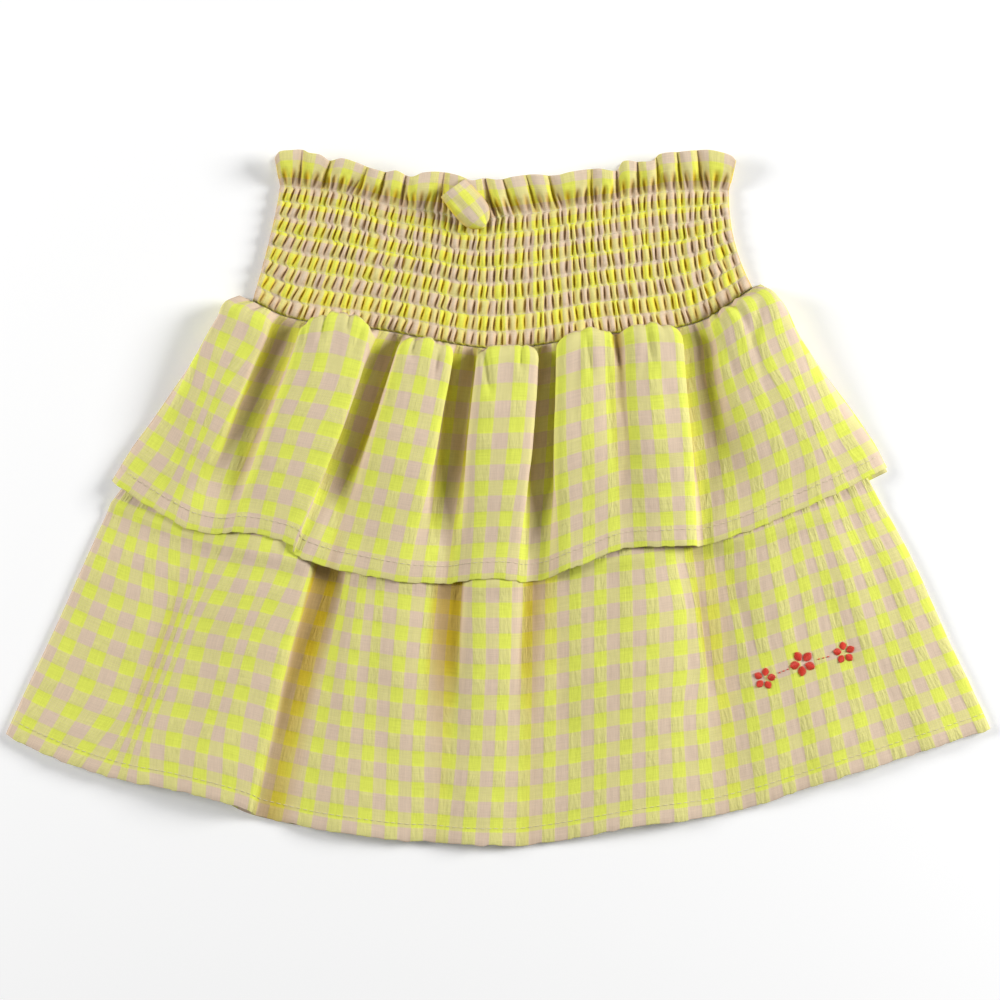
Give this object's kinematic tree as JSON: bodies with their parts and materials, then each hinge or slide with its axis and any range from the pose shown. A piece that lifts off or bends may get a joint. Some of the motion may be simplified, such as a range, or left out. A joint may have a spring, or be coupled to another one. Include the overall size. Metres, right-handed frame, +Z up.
{
  "type": "skirt",
  "caption": "Child's pull-on skirt in puckered check cotton, laid flat: a shirred elastic waist with a frill heading over two gathered ruffle tiers.",
  "frame": {"origin": "at the centre of the bounding box, on the flat face that the skirt rests on", "axes": "+X across the skirt to the viewer's right, +Y from the hems to the waist, +Z up from the surface it lies on, with the skirt's front upwards"},
  "size_m": [0.4721, 0.332, 0.0181],
  "materials": {
    "lit_gingham": "matt puckered cotton, yellow and pink-beige check",
    "shaded_gingham": "the same cotton, on the halves that lie underneath"
  },
  "bodies": {
    "root": {"upper_tier_back": "shaded_gingham", "lower_tier_back": "shaded_gingham", "lower_tier_front": "lit_gingham", "upper_tier_front": "lit_gingham", "waist_back": "shaded_gingham", "waist_front": "lit_gingham"}
  },
  "joints": []
}
